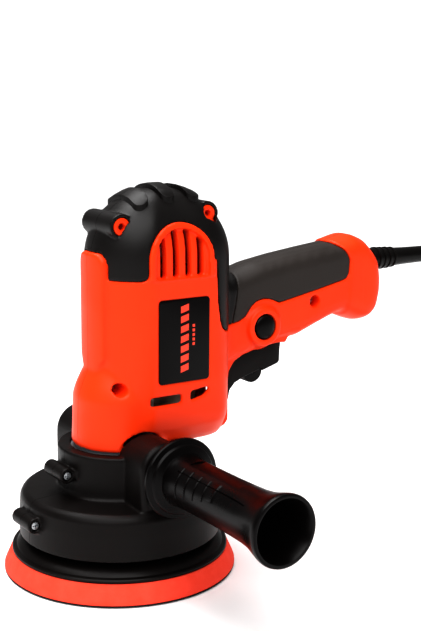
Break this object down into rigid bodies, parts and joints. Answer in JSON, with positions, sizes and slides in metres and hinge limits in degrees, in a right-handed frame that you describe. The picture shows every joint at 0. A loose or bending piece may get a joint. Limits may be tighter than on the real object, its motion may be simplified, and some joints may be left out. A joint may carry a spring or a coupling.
{
  "type": "rotary polisher",
  "caption": "Corded rotary polisher with an upright motor, pistol grip, screwed-in side handle and a round foam pad with a hook face.",
  "frame": {"origin": "centre of the hook face under the pad, which is also the surface the tool stands on", "axes": "+Z along the spindle, away from the work; +X towards the pistol grip; -Y towards the side handle"},
  "size_m": [0.4261, 0.2518, 0.245],
  "materials": {
    "orange_plastic": "satin",
    "black_plastic": "satin",
    "gloss_black": "gloss",
    "soft_rubber": "matte",
    "red_foam": "matte",
    "hook_fabric": "matte",
    "steel": "satin",
    "dark_steel": "satin",
    "cast_aluminium": "matte",
    "copper": "satin",
    "carbon": "matte",
    "natural_plastic": "satin"
  },
  "bodies": {
    "housing": {"housing_left": "orange_plastic", "housing_right": "orange_plastic", "cap_cover_left": "soft_rubber", "cap_cover_right": "soft_rubber", "grip_cover_left": "soft_rubber", "grip_cover_right": "soft_rubber", "label_left": "gloss_black", "label_right": "gloss_black", "housing_screw_1": "steel", "housing_screw_2": "steel", "housing_screw_3": "steel", "housing_screw_4": "steel", "gear_case": "cast_aluminium", "spindle_bearing": "steel", "spindle_bush": "copper", "bearing_bracket": "cast_aluminium", "front_armature_bearing": "steel", "rear_armature_bearing": "steel", "stator_core": "dark_steel", "field_coil_front": "copper", "field_coil_rear": "copper", "brush_holder_front": "copper", "brush_holder_rear": "copper", "carbon_brush_front": "carbon", "carbon_brush_rear": "carbon", "shroud_left": "black_plastic", "shroud_right": "black_plastic", "shroud_screw_1": "steel", "shroud_screw_2": "steel", "shroud_screw_3": "steel", "shroud_screw_4": "steel", "side_handle": "black_plastic", "side_handle_bolt": "steel", "switch_body": "black_plastic", "lock_spring": "steel", "trigger_spring": "steel", "strain_relief": "black_plastic", "cord_clamp": "natural_plastic", "power_cord": "black_plastic", "cord_coil": "black_plastic", "cord_tie": "natural_plastic", "cord_tail": "black_plastic", "plug_body": "black_plastic", "plug_pin_a": "steel", "plug_pin_b": "steel"},
    "spindle_assembly": {"spindle": "steel", "driven_gear": "dark_steel", "spindle_circlip": "dark_steel", "hub_insert": "steel", "backing_plate": "black_plastic", "foam_pad": "red_foam", "hook_face": "hook_fabric"},
    "armature": {"armature_shaft": "steel", "cooling_fan": "natural_plastic", "armature_core": "dark_steel", "armature_windings": "copper", "commutator": "copper"},
    "trigger": {"trigger": "black_plastic"},
    "speed_dial": {"speed_dial": "gloss_black"},
    "lock_button": {"lock_button": "gloss_black"}
  },
  "joints": [
    {"name": "spindle_spin", "type": "hinge", "parent": "housing", "child": "spindle_assembly", "pos_m": [0, 0, 0.05], "axis": [0, 0, 1], "continuous": true},
    {"name": "armature_spin", "type": "hinge", "parent": "housing", "child": "armature", "pos_m": [0.024, 0, 0.13], "axis": [0, 0, 1], "continuous": true},
    {"name": "trigger_pull", "type": "hinge", "parent": "housing", "child": "trigger", "pos_m": [0.121, 0, 0.139], "axis": [0, 1, 0], "range_deg": [0, 8], "stiffness_Nm_per_rad": 1.2, "springref_deg": -8.59, "deforming": ["trigger_spring"]},
    {"name": "speed_dial_turn", "type": "hinge", "parent": "trigger", "child": "speed_dial", "pos_m": [0.0986, 0, 0.1164], "axis": [0, 1, 0], "range_deg": [-135, 135]},
    {"name": "lock_button_press", "type": "slide", "parent": "housing", "child": "lock_button", "axis": [0, 1, 0], "range_m": [0, 0.003], "stiffness_N_per_m": 300, "springref_m": -0.002, "deforming": ["lock_spring"]}
  ],
  "couplings": [
    {"joint": "armature_spin", "follows": "spindle_spin", "ratio": -7}
  ]
}
